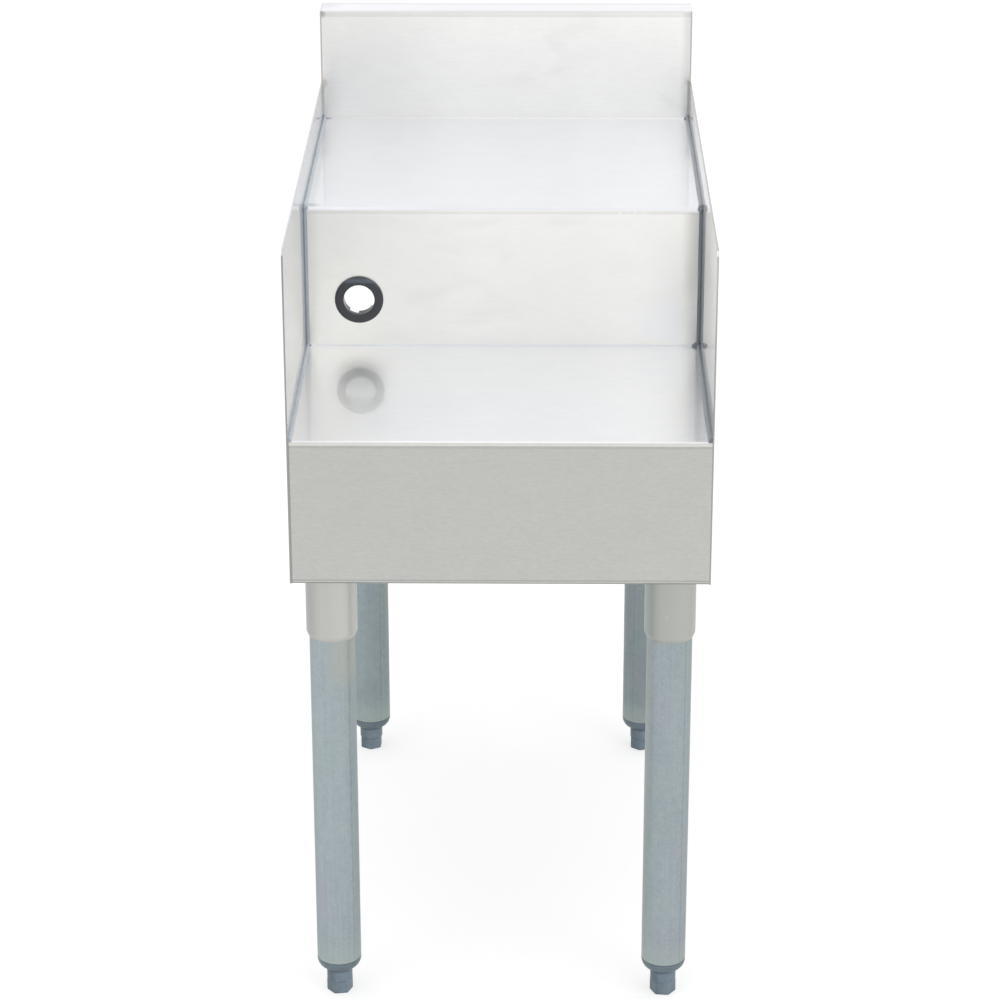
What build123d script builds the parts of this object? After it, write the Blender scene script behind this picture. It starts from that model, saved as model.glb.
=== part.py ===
from build123d import *
from math import sqrt
import os

# Blender station for the back of a bar: a folded stainless body with two decks, on four tube legs.
# Millimetres. The front faces -Y, +X is to the right, and the floor is at Z = 0, under the middle.

# Overall width and depth, and the steps of the body from the floor up
overall_width = 381.0
overall_depth = 609.6
apron_bottom_height = 445.0
apron_height = 138.0
riser_height = 138.0
rim_rise = 40.5
backsplash_rise = 72.5

# Depths of the folded body, front to back
lower_deck_depth = 258.0
top_return_depth = 38.1
apron_flange_depth = 8.0
rear_lip_height = 18.0

# Sheet metal
body_sheet_thickness = 1.2
end_panel_thickness = 1.5
channel_thickness = 2.0
stiffener_thickness = 1.2
nosing_radius = 3.5
cove_radius = 1.0
rim_corner_radius = 8.0
panel_corner_radius = 2.0
hem_height = 6.0

# Hat stiffeners glued under the decks
stiffener_crown_width = 40.0
stiffener_brim_width = 12.0
stiffener_depth = 18.0
stiffener_end_gap = 18.0

# Cross channels that carry the leg sockets
channel_width = 66.0
channel_flange_height = 20.0
channel_rise = 32.0
channel_bend_radius = 3.0
channel_tab_height = 22.0
channel_tab_width = 50.0

# Legs, with the insets of their axes from the front or rear and from the sides
leg_diameter = 42.2
leg_wall = 1.6
front_leg_inset = 42.0
front_leg_side_inset = 34.4
rear_leg_inset = 41.6
rear_leg_side_inset = 39.9
leg_top_gap = 5.0

# Leg sockets, with a square plate bolted up into the channel
socket_clearance = 0.3
socket_wall = 2.3
socket_drop = 67.5
socket_chamfer_height = 4.5
socket_chamfer_width = 1.9
socket_plate_size = 58.0
socket_plate_thickness = 3.0
socket_bolt_spacing = 43.0

# Fasteners
bolt_diameter = 6.0
bolt_hole_clearance = 0.3
bolt_head_width = 10.0
bolt_head_height = 4.0
bolt_end_length = 2.5
nut_height = 5.0
nut_thread_clearance = 0.05
set_screw_diameter = 6.0
set_screw_clearance = 0.1
set_screw_head_height = 4.0
set_screw_tip_gap = 0.02
set_screw_height = 18.0
set_screw_reach = 1.0
boss_width = 12.0
boss_length = 5.0

# Plastic foot inserts and the screw feet in them
foot_hex_width = 21.5
foot_hex_height = 13.0
foot_bottom_chamfer = 0.4
foot_neck_diameter = 24.5
foot_neck_height = 12.5
foot_neck_chamfer = 1.0
foot_stem_diameter = 12.0
foot_stem_length = 44.0
foot_stem_clearance = 0.1
foot_seat_gap = 0.3
insert_dome_height = 12.0
insert_dome_side = 1.5
insert_dome_foot_radius = 13.2
insert_plug_length = 30.0
insert_plug_clearance = 0.1
front_left_foot_turn = 9.0
front_right_foot_turn = -6.0
rear_left_foot_turn = 27.0
rear_right_foot_turn = 20.0

# Cord grommet in the riser
grommet_side_inset = 52.8
grommet_rise = 46.7
grommet_bore = 29.5
grommet_flange_diameter = 46.5
grommet_flange_thickness = 3.5
grommet_flange_round = 2.4
grommet_bore_round = 1.6
grommet_barrel_wall = 2.2
grommet_barrel_length = 10.0
grommet_snap_height = 0.9
grommet_snap_length = 3.0
grommet_snap_gap = 0.3
grommet_slot_width = 9.0
grommet_slot_count = 4
grommet_slot_turn = 70.0
grommet_hole_clearance = 0.3

# Silicone sealant in the inside corners along the end panels
bead_size = 4.5
bead_bulge = 0.62
backsplash_bead_size = 2.5
bead_front_gap = 2.0

# Places that follow from the sizes above
front = -overall_depth / 2
rear = overall_depth / 2
lower_deck_height = apron_bottom_height + apron_height
upper_deck_height = lower_deck_height + riser_height
rim_height = upper_deck_height + rim_rise
overall_height = rim_height + backsplash_rise
riser_face = front + lower_deck_depth
backsplash_face = rear - top_return_depth
body_width = overall_width - 2 * end_panel_thickness
panel_inner = body_width / 2
front_leg_x = overall_width / 2 - front_leg_side_inset
front_leg_y = front + front_leg_inset
rear_leg_x = overall_width / 2 - rear_leg_side_inset
rear_leg_y = rear - rear_leg_inset
channel_top = apron_bottom_height + channel_rise
plate_top = channel_top - channel_thickness
plate_bottom = plate_top - socket_plate_thickness
socket_inner_radius = leg_diameter / 2 + socket_clearance
socket_outer_radius = socket_inner_radius + socket_wall
socket_bottom = apron_bottom_height - socket_drop
foot_neck_top = foot_hex_height + foot_neck_height
insert_bottom = foot_neck_top + foot_seat_gap
leg_bottom = insert_bottom + insert_dome_height
leg_top = plate_bottom - leg_top_gap
leg_inner_radius = leg_diameter / 2 - leg_wall
grommet_place = (grommet_side_inset - overall_width / 2, riser_face, lower_deck_height + grommet_rise)
grommet_barrel_radius = grommet_bore / 2 + grommet_barrel_wall

# Leg corners: name, X, Y, way to the middle of the station, and how far the foot's hexagon is turned
corners = [
    ("front_left", -front_leg_x, front_leg_y, 1, front_left_foot_turn),
    ("front_right", front_leg_x, front_leg_y, 1, front_right_foot_turn),
    ("rear_left", -rear_leg_x, rear_leg_y, -1, rear_left_foot_turn),
    ("rear_right", rear_leg_x, rear_leg_y, -1, rear_right_foot_turn),
]


# Outer surface of the folded body in the YZ plane: apron, decks, backsplash, top return and rear lip
body_outline = [
    (front + apron_flange_depth, apron_bottom_height),
    (front, apron_bottom_height),
    (front, lower_deck_height),
    (riser_face, lower_deck_height),
    (riser_face, upper_deck_height),
    (backsplash_face, upper_deck_height),
    (backsplash_face, overall_height),
    (rear, overall_height),
    (rear, overall_height - rear_lip_height),
]


# Section of a folded sheet in the YZ plane. The points run along its outer surface, with square
# corners, and the sheet lies to the right of the way that they run.
def sheet_section(points, thickness, convex_radius, concave_radius):
    ways = []
    for (y0, z0), (y1, z1) in zip(points, points[1:]):
        length = abs(y1 - y0) + abs(z1 - z0)
        ways.append(((y1 - y0) / length, (z1 - z0) / length))
    outer_radii = []
    inner_radii = []
    inner = [(points[0][0] + ways[0][1] * thickness, points[0][1] - ways[0][0] * thickness)]
    for (y, z), (ay, az), (by, bz) in zip(points[1:], ways, ways[1:]):
        if ay * bz - az * by < 0:
            outer_radii.append(convex_radius)
            inner_radii.append(max(convex_radius - thickness, 0.2))
        else:
            outer_radii.append(concave_radius)
            inner_radii.append(concave_radius + thickness)
        inner.append((y + (az + bz) * thickness, z - (ay + by) * thickness))
    end_y, end_z = points[-1]
    inner.append((end_y + ways[-1][1] * thickness, end_z - ways[-1][0] * thickness))
    outer_line = FilletPolyline(*points, radius=outer_radii)
    inner_line = FilletPolyline(*inner, radius=inner_radii)
    start_line = Line(inner[0], points[0])
    end_line = Line(points[-1], inner[-1])
    return make_face([*outer_line.edges(), end_line, *inner_line.edges(), start_line])


# A folded sheet of one width, centred on X = 0
def folded_sheet(points, thickness, convex_radius, concave_radius, width):
    section = sheet_section(points, thickness, convex_radius, concave_radius)
    return extrude(Plane.YZ * section, amount=width / 2, both=True)


# A solid turned about the Z axis from (radius, height) points
def turned(points):
    profile = make_face(Polyline(*points, close=True))
    return revolve(Plane.XZ * profile, Axis.Z)


# A six-sided prism standing on Z = 0, with its flats facing +Y and -Y
def hexagon_bar(width, height):
    return extrude(RegularPolygon(width / sqrt(3), 6, rotation=0), amount=height)


# The body between the end panels, or a thicker block behind the same outer surface
def folded_body(thickness):
    return folded_sheet(body_outline, thickness, nosing_radius, cove_radius, body_width)


def body_sheet():
    sheet = folded_body(body_sheet_thickness)
    hole_radius = grommet_barrel_radius + grommet_hole_clearance
    hole = Pos(grommet_place) * Rot(90, 0, 0) * Cylinder(hole_radius, 4 * body_sheet_thickness)
    return sheet - hole


# Stepped end panel with hemmed bottom and rear edges. Side is -1 on the left and 1 on the right.
def end_panel(side):
    outline = [
        (front, apron_bottom_height),
        (rear, apron_bottom_height),
        (rear, overall_height),
        (backsplash_face, overall_height),
        (backsplash_face, rim_height),
        (front, rim_height),
    ]
    radii = [panel_corner_radius, panel_corner_radius, panel_corner_radius, 0, 0, rim_corner_radius]
    face = make_face(FilletPolyline(*outline, radius=radii, close=True))
    plate = Pos(side * panel_inner, 0, 0) * extrude(Plane.YZ * face, amount=side * end_panel_thickness)
    hem_front = front + apron_flange_depth + hem_height
    hem_rear = rear - panel_corner_radius
    bottom_hem = Box(end_panel_thickness, hem_rear - hem_front, hem_height)
    hem_x = side * (panel_inner - end_panel_thickness / 2)
    hem_z = apron_bottom_height + panel_corner_radius
    bottom_hem = Pos(hem_x, (hem_front + hem_rear) / 2, hem_z + hem_height / 2) * bottom_hem
    rear_hem_top = overall_height - rear_lip_height - hem_height
    rear_hem = Box(end_panel_thickness, hem_height, rear_hem_top - hem_z)
    rear_hem = Pos(hem_x, hem_rear - hem_height / 2, (hem_z + rear_hem_top) / 2) * rear_hem
    return plate + bottom_hem + rear_hem


# Sealant in the corner between an end panel and the folded body
def sealant_bead(side):
    def strip(route, size, across):
        bulge = bead_bulge * size
        corner = Vector(side * panel_inner, *route[0])
        inward = Vector(-side, 0, 0)
        ends = [corner, corner + inward * size, corner + (inward + across) * bulge, corner + across * size]
        section = make_face(Polyline(*ends, close=True))
        path = Polyline(*[(side * panel_inner, y, z) for y, z in route])
        return sweep(section, path=path, transition=Transition.RIGHT)

    deck_route = [
        (backsplash_face, upper_deck_height),
        (riser_face, upper_deck_height),
        (riser_face, lower_deck_height),
        (front + bead_front_gap, lower_deck_height),
    ]
    backsplash_route = [(backsplash_face, rim_height), (backsplash_face, upper_deck_height)]
    deck_bead = strip(deck_route, bead_size, Vector(0, 0, 1))
    backsplash_bead = strip(backsplash_route, backsplash_bead_size, Vector(0, -1, 0))
    return deck_bead + backsplash_bead - folded_body(bead_size)


# Hat section glued under a deck, with its brims against the sheet
def deck_stiffener(middle_y, deck_height):
    top = deck_height - body_sheet_thickness
    half_crown = stiffener_crown_width / 2
    brim = half_crown + stiffener_brim_width
    points = [
        (middle_y - brim, top),
        (middle_y - half_crown, top),
        (middle_y - half_crown, top - stiffener_depth),
        (middle_y + half_crown, top - stiffener_depth),
        (middle_y + half_crown, top),
        (middle_y + brim, top),
    ]
    length = body_width - 2 * stiffener_end_gap
    bend_radius = stiffener_thickness + 1
    return folded_sheet(points, stiffener_thickness, bend_radius, bend_radius, length)


# The four bolt places of a socket plate, seen from the leg's axis
def bolt_places(x, y):
    half = socket_bolt_spacing / 2
    return [(x + i * half, y + j * half) for i in (-1, 1) for j in (-1, 1)]


# Channel across the station, open downwards, with a tab turned up at each end panel
def leg_channel(middle_y, leg_xs):
    half = channel_width / 2
    points = [
        (middle_y - half, channel_top - channel_flange_height),
        (middle_y - half, channel_top),
        (middle_y + half, channel_top),
        (middle_y + half, channel_top - channel_flange_height),
    ]
    channel = folded_sheet(points, channel_thickness, channel_bend_radius, channel_bend_radius, body_width)
    for side in (-1, 1):
        tab = Box(channel_thickness, channel_tab_width, channel_tab_height + channel_thickness)
        tab_x = side * (panel_inner - channel_thickness / 2)
        tab_z = channel_top + (channel_tab_height - channel_thickness) / 2
        channel += Pos(tab_x, middle_y, tab_z) * tab
    for leg_x in leg_xs:
        for x, y in bolt_places(leg_x, middle_y):
            radius = bolt_diameter / 2 + bolt_hole_clearance
            channel -= Pos(x, y, channel_top) * Cylinder(radius, 4 * channel_thickness)
    return channel


# Cup round the leg's top, with a bolting plate above and a screw boss towards the middle
def leg_socket(x, y, way):
    cup = turned([
        (socket_inner_radius, socket_bottom),
        (socket_outer_radius - socket_chamfer_width, socket_bottom),
        (socket_outer_radius, socket_bottom + socket_chamfer_height),
        (socket_outer_radius, plate_bottom),
        (socket_inner_radius, plate_bottom),
    ])
    plate = Pos(0, 0, plate_bottom + socket_plate_thickness / 2) * Box(
        socket_plate_size, socket_plate_size, socket_plate_thickness
    )
    for hole_x, hole_y in bolt_places(0, 0):
        radius = bolt_diameter / 2 + bolt_hole_clearance
        plate -= Pos(hole_x, hole_y, plate_bottom) * Cylinder(radius, 4 * socket_plate_thickness)
    boss_z = socket_bottom + set_screw_height
    boss = Rot(-90 * way, 0, 0) * hexagon_bar(boss_width, boss_length + socket_wall / 2)
    boss = Pos(0, way * (socket_outer_radius - socket_wall / 2), boss_z) * boss
    bore_radius = set_screw_diameter / 2 + set_screw_clearance
    bore_length = 2 * (boss_length + socket_wall)
    bore = Pos(0, way * socket_outer_radius, boss_z) * Rot(90, 0, 0) * Cylinder(bore_radius, bore_length)
    return Pos(x, y, 0) * (cup + plate + boss - bore)


# Hexagon-headed screw that presses on the leg inside the socket
def set_screw(x, y, way):
    tip = leg_diameter / 2 + set_screw_tip_gap
    head = socket_outer_radius + boss_length + set_screw_reach
    shank = Pos(0, 0, tip) * extrude(Circle(set_screw_diameter / 2), amount=head - tip)
    hexagon = Pos(0, 0, head) * hexagon_bar(bolt_head_width, set_screw_head_height)
    screw = Rot(-90 * way, 0, 0) * (shank + hexagon)
    return Pos(x, y, socket_bottom + set_screw_height) * screw


# Bolt up through a socket plate and the channel
def socket_bolt(x, y):
    length = socket_plate_thickness + channel_thickness + nut_height + bolt_end_length
    shank = Pos(x, y, plate_bottom) * extrude(Circle(bolt_diameter / 2), amount=length)
    head = Pos(x, y, plate_bottom - bolt_head_height) * hexagon_bar(bolt_head_width, bolt_head_height)
    return shank + head


def socket_nut(x, y):
    nut = hexagon_bar(bolt_head_width, nut_height)
    bore = Cylinder(bolt_diameter / 2 + nut_thread_clearance, 4 * nut_height)
    return Pos(x, y, channel_top) * (nut - bore)


def leg_tube(x, y):
    tube = turned([
        (leg_inner_radius, leg_bottom),
        (leg_diameter / 2, leg_bottom),
        (leg_diameter / 2, leg_top),
        (leg_inner_radius, leg_top),
    ])
    return Pos(x, y, 0) * tube


# Plastic plug pressed into the leg, with a domed shoulder as wide as the tube
def foot_insert(x, y):
    bore_radius = foot_stem_diameter / 2 + foot_stem_clearance
    plug_radius = leg_inner_radius - insert_plug_clearance
    shoulder_radius = leg_diameter / 2
    plug_top = leg_bottom + insert_plug_length
    side_bottom = (shoulder_radius, leg_bottom - insert_dome_side)
    dome_bottom = (insert_dome_foot_radius, insert_bottom)
    edges = [
        Line((bore_radius, insert_bottom), (bore_radius, plug_top)),
        Line((bore_radius, plug_top), (plug_radius, plug_top)),
        Line((plug_radius, plug_top), (plug_radius, leg_bottom)),
        Line((plug_radius, leg_bottom), (shoulder_radius, leg_bottom)),
        Line((shoulder_radius, leg_bottom), side_bottom),
        TangentArc(side_bottom, dome_bottom, tangent=(0, -1)),
        Line(dome_bottom, (bore_radius, insert_bottom)),
    ]
    return Pos(x, y, 0) * revolve(Plane.XZ * make_face(edges), Axis.Z)


# Screw foot: a hexagon with a chamfered sole, a round neck and the threaded stem above it
def screw_foot(x, y, turn):
    neck_radius = foot_neck_diameter / 2
    flat_radius = foot_hex_width / 2
    run_out = neck_radius - flat_radius
    hexagon = hexagon_bar(foot_hex_width, foot_neck_top - foot_neck_chamfer)
    sole_radius = foot_hex_width / sqrt(3)
    barrel = turned([
        (0, 0),
        (sole_radius - foot_bottom_chamfer, 0),
        (sole_radius, foot_bottom_chamfer),
        (sole_radius, foot_hex_height - run_out / 2),
        (neck_radius, foot_hex_height),
        (neck_radius, foot_neck_top),
        (0, foot_neck_top),
    ])
    neck = turned([
        (0, foot_hex_height - run_out),
        (flat_radius, foot_hex_height - run_out),
        (neck_radius, foot_hex_height),
        (neck_radius, foot_neck_top - foot_neck_chamfer),
        (neck_radius - foot_neck_chamfer, foot_neck_top),
        (0, foot_neck_top),
    ])
    stem = Pos(0, 0, foot_hex_height) * extrude(
        Circle(foot_stem_diameter / 2), amount=foot_neck_height + foot_stem_length
    )
    return Pos(x, y, 0) * Rot(0, 0, turn) * (hexagon & barrel) + Pos(x, y, 0) * (neck + stem)


# One-piece snap grommet: rounded flange in front of the riser, slotted barrel behind it
def cord_grommet():
    bore = grommet_bore / 2
    rim = grommet_flange_diameter / 2
    flange = grommet_flange_thickness
    snap_start = -body_sheet_thickness - grommet_snap_gap
    snap_end = snap_start - grommet_snap_length
    snap_radius = grommet_barrel_radius + grommet_snap_height
    round_out = grommet_flange_round
    round_in = grommet_bore_round
    edges = [
        Line((bore, -grommet_barrel_length), (bore, flange - round_in)),
        TangentArc((bore, flange - round_in), (bore + round_in, flange), tangent=(0, 1)),
        Line((bore + round_in, flange), (rim - round_out, flange)),
        TangentArc((rim - round_out, flange), (rim, flange - round_out), tangent=(1, 0)),
        Polyline(
            (rim, flange - round_out),
            (rim, 0),
            (grommet_barrel_radius, 0),
            (grommet_barrel_radius, snap_start),
            (snap_radius, snap_start),
            (grommet_barrel_radius, snap_end),
            (grommet_barrel_radius, -grommet_barrel_length),
            (bore, -grommet_barrel_length),
        ),
    ]
    ring = revolve(Plane.XZ * make_face(edges), Axis.Z)
    slot_length = grommet_barrel_length + snap_start - grommet_barrel_wall
    slot = Box(2 * snap_radius + 2, grommet_slot_width, slot_length)
    slot = Pos(0, 0, slot_length / 2 - grommet_barrel_length) * slot
    for index in range(grommet_slot_count // 2):
        ring -= Rot(0, 0, grommet_slot_turn + 360 / grommet_slot_count * index) * slot
    return Pos(grommet_place) * Rot(90, 0, 0) * ring


parts = {}
parts["body_sheet"] = body_sheet()
for name, side in (("left", -1), ("right", 1)):
    parts[name + "_end_panel"] = end_panel(side)
    parts[name + "_sealant_bead"] = sealant_bead(side)
parts["cord_grommet"] = cord_grommet()

lower_deck_middle = front + lower_deck_depth / 2
upper_deck_middle = (riser_face + backsplash_face) / 2
parts["lower_deck_stiffener"] = deck_stiffener(lower_deck_middle, lower_deck_height)
parts["upper_deck_stiffener"] = deck_stiffener(upper_deck_middle, upper_deck_height)

for end, leg_y in (("front", front_leg_y), ("rear", rear_leg_y)):
    leg_xs = [x for name, x, y, way, turn in corners if name.startswith(end)]
    places = [place for x in leg_xs for place in bolt_places(x, leg_y)]
    parts[end + "_leg_channel"] = leg_channel(leg_y, leg_xs)
    parts[end + "_socket_bolts"] = Compound([socket_bolt(x, y).solid() for x, y in places])
    parts[end + "_socket_nuts"] = Compound([socket_nut(x, y).solid() for x, y in places])

for name, x, y, way, turn in corners:
    parts[name + "_leg_socket"] = leg_socket(x, y, way)
    parts[name + "_leg"] = leg_tube(x, y)
    parts[name + "_foot_insert"] = foot_insert(x, y)
    parts[name + "_foot"] = screw_foot(x, y, turn)
parts["socket_set_screws"] = Compound([set_screw(x, y, way).solid() for name, x, y, way, turn in corners])

os.makedirs("parts", exist_ok=True)
for node, shape in parts.items():
    export_step(shape, "parts/" + node + ".step")
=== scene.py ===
import bpy
import bmesh
import math
from mathutils import Matrix, Vector


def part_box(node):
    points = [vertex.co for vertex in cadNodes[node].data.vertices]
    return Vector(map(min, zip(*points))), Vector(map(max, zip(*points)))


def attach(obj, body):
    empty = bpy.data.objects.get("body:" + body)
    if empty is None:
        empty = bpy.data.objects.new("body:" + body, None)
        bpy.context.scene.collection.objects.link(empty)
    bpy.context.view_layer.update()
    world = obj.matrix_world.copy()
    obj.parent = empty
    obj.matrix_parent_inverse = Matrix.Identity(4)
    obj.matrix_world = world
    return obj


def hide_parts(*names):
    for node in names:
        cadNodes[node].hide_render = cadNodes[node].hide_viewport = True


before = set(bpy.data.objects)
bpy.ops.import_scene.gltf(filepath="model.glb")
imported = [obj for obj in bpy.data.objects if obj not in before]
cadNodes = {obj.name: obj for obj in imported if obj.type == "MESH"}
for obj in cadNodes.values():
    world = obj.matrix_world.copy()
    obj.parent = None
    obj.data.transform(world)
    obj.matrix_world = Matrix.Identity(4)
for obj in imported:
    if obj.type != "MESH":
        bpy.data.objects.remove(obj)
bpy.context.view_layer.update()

scene = bpy.context.scene
print("frame loaded:", len(cadNodes), "nodes")


# Camera, at the angle and distance of the photograph
cameraSet = {
    "focal": 3261.9,  # in pixels of the picture
    "picture": 1000,  # its width
    "sensor": 36.0,
    "clip": (0.05, 60.0),
    "place": (0.03137, -3.00865, 1.63326),
    "down": 22.231,  # degrees below level
    "turn": -0.667,  # degrees to the right
    "roll": -0.079,
}


def makeCamera(s):
    data = bpy.data.cameras.new("photoCamera")
    data.sensor_width = s["sensor"]
    data.lens = s["focal"] * s["sensor"] / s["picture"]
    data.clip_start, data.clip_end = s["clip"]
    camera = bpy.data.objects.new("photoCamera", data)
    scene.collection.objects.link(camera)
    turn = Matrix.Rotation(math.radians(-s["turn"]), 4, "Z")
    tilt = Matrix.Rotation(math.radians(90 - s["down"]), 4, "X")
    roll = Matrix.Rotation(math.radians(s["roll"]), 4, "Z")
    camera.matrix_world = Matrix.Translation(s["place"]) @ turn @ tilt @ roll
    scene.camera = camera


makeCamera(cameraSet)
scene.view_settings.view_transform = "Standard"
print("camera set")


# Shader maths: a Wire is one output socket, and sums on it add the nodes
class Wire:
    def __init__(self, paint, socket):
        self.paint = paint
        self.socket = socket

    def math(self, operation, *others):
        return self.paint.add("Math", {"operation": operation}, dict(enumerate((self, *others))))

    def __add__(self, other):
        return self.math("ADD", other)

    def __radd__(self, other):
        return self.math("ADD", other)

    def __sub__(self, other):
        return self.math("SUBTRACT", other)

    def __rsub__(self, other):
        return self.paint.add("Math", {"operation": "SUBTRACT"}, {0: other, 1: self})

    def __mul__(self, other):
        return self.math("MULTIPLY", other)

    def __truediv__(self, other):
        return self.math("DIVIDE", other)

    def size(self):
        return self.math("ABSOLUTE")

    def most(self, other):
        return self.math("MAXIMUM", other)

    def fade(self, low, high, start=0.0, end=1.0):  # smooth step from start to end
        values = {"Value": self, "From Min": low, "From Max": high, "To Min": start, "To Max": end}
        return self.paint.add("MapRange", {"interpolation_type": "SMOOTHSTEP"}, values)

    def past(self, place, low, high, start=0.0, end=1.0):  # a fade measured from a place
        return self.fade(place + low, place + high, start, end)

    def band(self, middle, half, soft):  # 1 within half of the middle, 0 past the soft edge
        return (self - middle).size().fade(half, half + soft, 1.0, 0.0)

    def swing(self, depth):  # a noise made to vary about 0
        return (self - 0.5) * depth


class Paint:
    def __init__(self, name):
        self.material = bpy.data.materials.new(name)
        self.material.use_nodes = True
        self.tree = self.material.node_tree
        self.shader = self.tree.nodes["Principled BSDF"]
        self.where = self.add("TexCoord", out="Object")

    def plug(self, socket, value):
        if isinstance(value, Wire):
            self.tree.links.new(value.socket, socket)
        elif isinstance(value, tuple) and len(value) == 3 and socket.type == "RGBA":
            socket.default_value = (*value, 1.0)
        else:
            socket.default_value = value

    def add(self, kind, settings=None, sockets=None, out=0):
        node = self.tree.nodes.new("ShaderNode" + kind)
        for key, value in (settings or {}).items():
            setattr(node, key, value)
        for key, value in (sockets or {}).items():
            self.plug(node.inputs[key], value)
        return Wire(self, node.outputs[out])

    def set(self, **sockets):  # baseColor=... sets Base Color, and so on
        for key, value in sockets.items():
            words = "".join(" " + c if c.isupper() else c for c in key).title()
            words = words.replace("Ior", "IOR")
            self.plug(self.shader.inputs[words], value)

    def finish(self, s, clouds, bumps=None):  # cloudy roughness, and a bump of the clouds or of bumps
        self.set(roughness=clouds.swing(s["roughDepth"]) + s["roughness"])
        self.set(normal=self.bump(bumps or clouds, *s["bump"]))

    def mix(self, factor, a, b):
        return self.add("Mix", {"data_type": "RGBA"}, {0: factor, 6: a, 7: b}, out=2)

    def split(self, vector=None):  # three number wires of a vector
        node = self.tree.nodes.new("ShaderNodeSeparateXYZ")
        self.plug(node.inputs[0], vector or self.where)
        return [Wire(self, output) for output in node.outputs]

    def stretch(self, vector, scale, offset=(0, 0, 0)):
        return self.add("Mapping", None, {"Vector": vector, "Location": offset, "Scale": scale})

    def noise(self, vector, scale, detail=3.0, rough=0.55, twist=0.0):
        if isinstance(scale, tuple):  # one scale for each axis
            vector, scale = self.stretch(vector, scale), 1.0
        values = {"Vector": vector, "Scale": scale, "Detail": detail, "Roughness": rough, "Distortion": twist}
        return self.add("TexNoise", None, values)

    def tint(self, color, tone):  # a colour made lighter or darker all over
        return self.add("VectorMath", {"operation": "SCALE"}, {0: color, "Scale": tone})

    def spot(self, place, radius, vector=None):  # 1 at a place, 0 at the radius
        values = {0: vector or self.where, 1: place}
        far = self.add("VectorMath", {"operation": "DISTANCE"}, values, out="Value")
        return far.fade(0.0, radius, 1.0, 0.0)

    def bump(self, height, strength, distance, under=None):
        values = {"Height": height, "Strength": strength, "Distance": distance}
        if under:
            values["Normal"] = under
        return self.add("Bump", None, values)


# Stage: a pale floor that keeps the shadow, a white surround and soft studio lamps
stageSet = {
    "floorSize": 14.0,
    "floorColor": (0.5, 0.5, 0.5),
    "floorRoughness": 0.9, "floorGloss": 0.1,
    "floorLift": 0.62,  # makes the bare floor white where it is seen, mirrored or seen through
    "surround": 0.74,  # what lights the object from all round
    "lamps": [  # name, place, aim, width, height, power
        ("overhead", (0.0, -0.5, 3.2), (0.0, 0.0, 0.5), 3.2, 3.2, 30.0),
        ("rightFront", (2.6, -2.6, 2.2), (0.0, 0.0, 0.6), 2.0, 2.4, 14.0),
        ("leftFront", (-2.8, -2.4, 1.8), (0.0, 0.0, 0.6), 2.0, 2.4, 6.0),
    ],
}


def seenRays(paint):  # 1 for what the camera, a mirror or glass sees
    rays = paint.tree.nodes.new("ShaderNodeLightPath")
    seen = Wire(paint, rays.outputs["Is Camera Ray"])
    for kind in ("Is Glossy Ray", "Is Transmission Ray"):
        seen = seen.most(Wire(paint, rays.outputs[kind]))
    return seen


def makeFloor(s):
    bpy.ops.object.select_all(action="DESELECT")
    bpy.ops.mesh.primitive_plane_add(size=s["floorSize"], location=(0, 0, 0))
    floor = bpy.context.object
    floor.name = "floor"
    paint = Paint("paleFloor")
    paint.set(baseColor=s["floorColor"], roughness=s["floorRoughness"], specularIorLevel=s["floorGloss"])
    lift = paint.add("Emission", None, {"Color": (1, 1, 1), "Strength": seenRays(paint) * s["floorLift"]})
    lit = paint.add("AddShader", None, {0: Wire(paint, paint.shader.outputs[0]), 1: lift})
    back = paint.add("NewGeometry", out="Backfacing")
    clear = paint.add("BsdfTransparent")
    shown = paint.add("MixShader", None, {0: back, 1: lit, 2: clear})
    paint.plug(paint.tree.nodes["Material Output"].inputs["Surface"], shown)
    floor.data.materials.append(paint.material)


class SkyPaint(Paint):
    def __init__(self, name):
        world = bpy.data.worlds.new(name)
        scene.world = world
        world.use_nodes = True
        self.tree = world.node_tree


def makeSurround(s):
    paint = SkyPaint("surround")
    light = paint.add("Background", None, {"Color": (1, 1, 1), "Strength": s["surround"]})
    white = paint.add("Background", None, {"Color": (1, 1, 1), "Strength": 1.0})
    shown = paint.add("MixShader", None, {0: seenRays(paint), 1: light, 2: white})
    paint.plug(paint.tree.nodes["World Output"].inputs["Surface"], shown)


def makeLamps(s):
    for name, place, aim, width, height, power in s["lamps"]:
        data = bpy.data.lights.new(name, "AREA")
        data.shape = "RECTANGLE"
        data.size = width
        data.size_y = height
        data.energy = power
        lamp = bpy.data.objects.new(name, data)
        lamp.location = place
        lamp.visible_glossy = name != "overhead"  # or it would whiten the decks seen from above
        lamp.rotation_mode = "QUATERNION"
        lamp.rotation_quaternion = (Vector(aim) - Vector(place)).to_track_quat("-Z", "Y")
        scene.collection.objects.link(lamp)


makeFloor(stageSet)
makeSurround(stageSet)
makeLamps(stageSet)
print("stage set")


# Places taken from the frame
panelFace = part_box("left_sealant_bead")[0][0]  # inner face of the left end panel
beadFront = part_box("left_sealant_bead")[0][1]
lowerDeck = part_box("left_sealant_bead")[0][2]
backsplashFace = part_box("left_sealant_bead")[1][1]
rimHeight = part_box("left_sealant_bead")[1][2]
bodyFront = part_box("body_sheet")[0][1]
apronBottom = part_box("body_sheet")[0][2]
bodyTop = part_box("body_sheet")[1][2]
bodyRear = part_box("body_sheet")[1][1]
bodySheet = 0.0012  # thickness of the body's metal
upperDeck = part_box("upper_deck_stiffener")[1][2] + bodySheet
flangeDepth = 0.0035  # of the grommet, in front of the riser
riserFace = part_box("cord_grommet")[0][1] + flangeDepth
halfPanel = -panelFace
corners = ("front_left", "front_right", "rear_left", "rear_right")


def legAxis(corner):
    low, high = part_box(corner + "_leg")
    return (low[0] + high[0]) / 2, (low[1] + high[1]) / 2


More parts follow.
